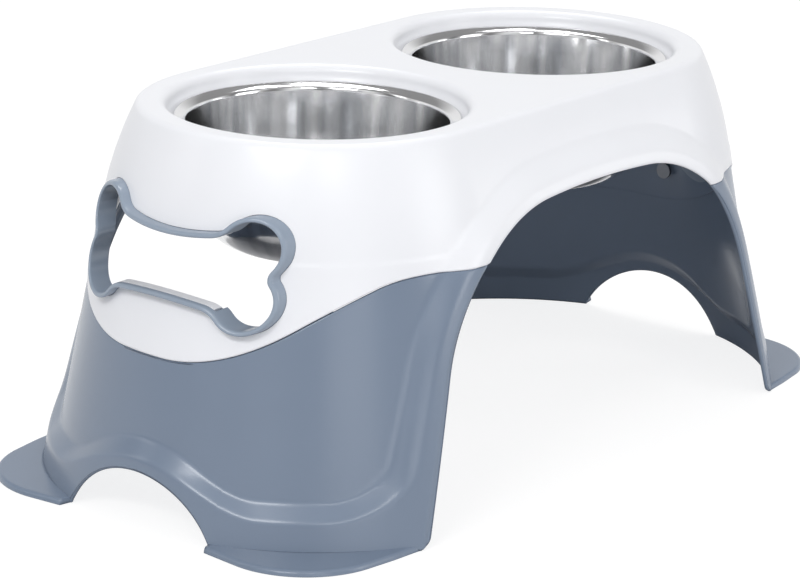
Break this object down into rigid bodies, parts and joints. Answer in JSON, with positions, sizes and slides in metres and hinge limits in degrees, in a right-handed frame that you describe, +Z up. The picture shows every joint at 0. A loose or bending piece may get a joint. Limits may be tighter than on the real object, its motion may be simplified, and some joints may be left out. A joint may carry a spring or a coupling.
{
  "type": "raised double-bowl pet feeder",
  "caption": "Raised feeding stand with an arched plastic body, grey legs, bone-shaped handle openings and lift-out stainless steel bowls.",
  "frame": {"origin": "on the ground under the middle of the stand", "axes": "+X runs along the row of bowls, +Y across the stand, +Z up out of the bowls"},
  "size_m": [0.6726, 0.367, 0.277],
  "materials": {
    "white_plastic": "smooth white, semi-gloss",
    "grey_plastic": "smooth blue-grey, semi-gloss",
    "bowl_steel": "polished stainless steel",
    "pad_rubber": "matt black rubber",
    "screw_steel": "black-oxide steel"
  },
  "bodies": {
    "stand": {"top_shell": "white_plastic", "left_leg": "grey_plastic", "right_leg": "grey_plastic", "left_handle_ring": "grey_plastic", "right_handle_ring": "grey_plastic", "left_back_pad": "pad_rubber", "left_front_pad": "pad_rubber", "right_back_pad": "pad_rubber", "right_front_pad": "pad_rubber", "left_leg_screws": "screw_steel", "right_leg_screws": "screw_steel"},
    "left_bowl": {"left_bowl": "bowl_steel"},
    "right_bowl": {"right_bowl": "bowl_steel"}
  },
  "joints": [
    {"name": "left_bowl_lift", "type": "slide", "parent": "stand", "child": "left_bowl", "axis": [0, 0, 1], "range_m": [0, 0.12]},
    {"name": "right_bowl_lift", "type": "slide", "parent": "stand", "child": "right_bowl", "axis": [0, 0, 1], "range_m": [0, 0.12]}
  ]
}
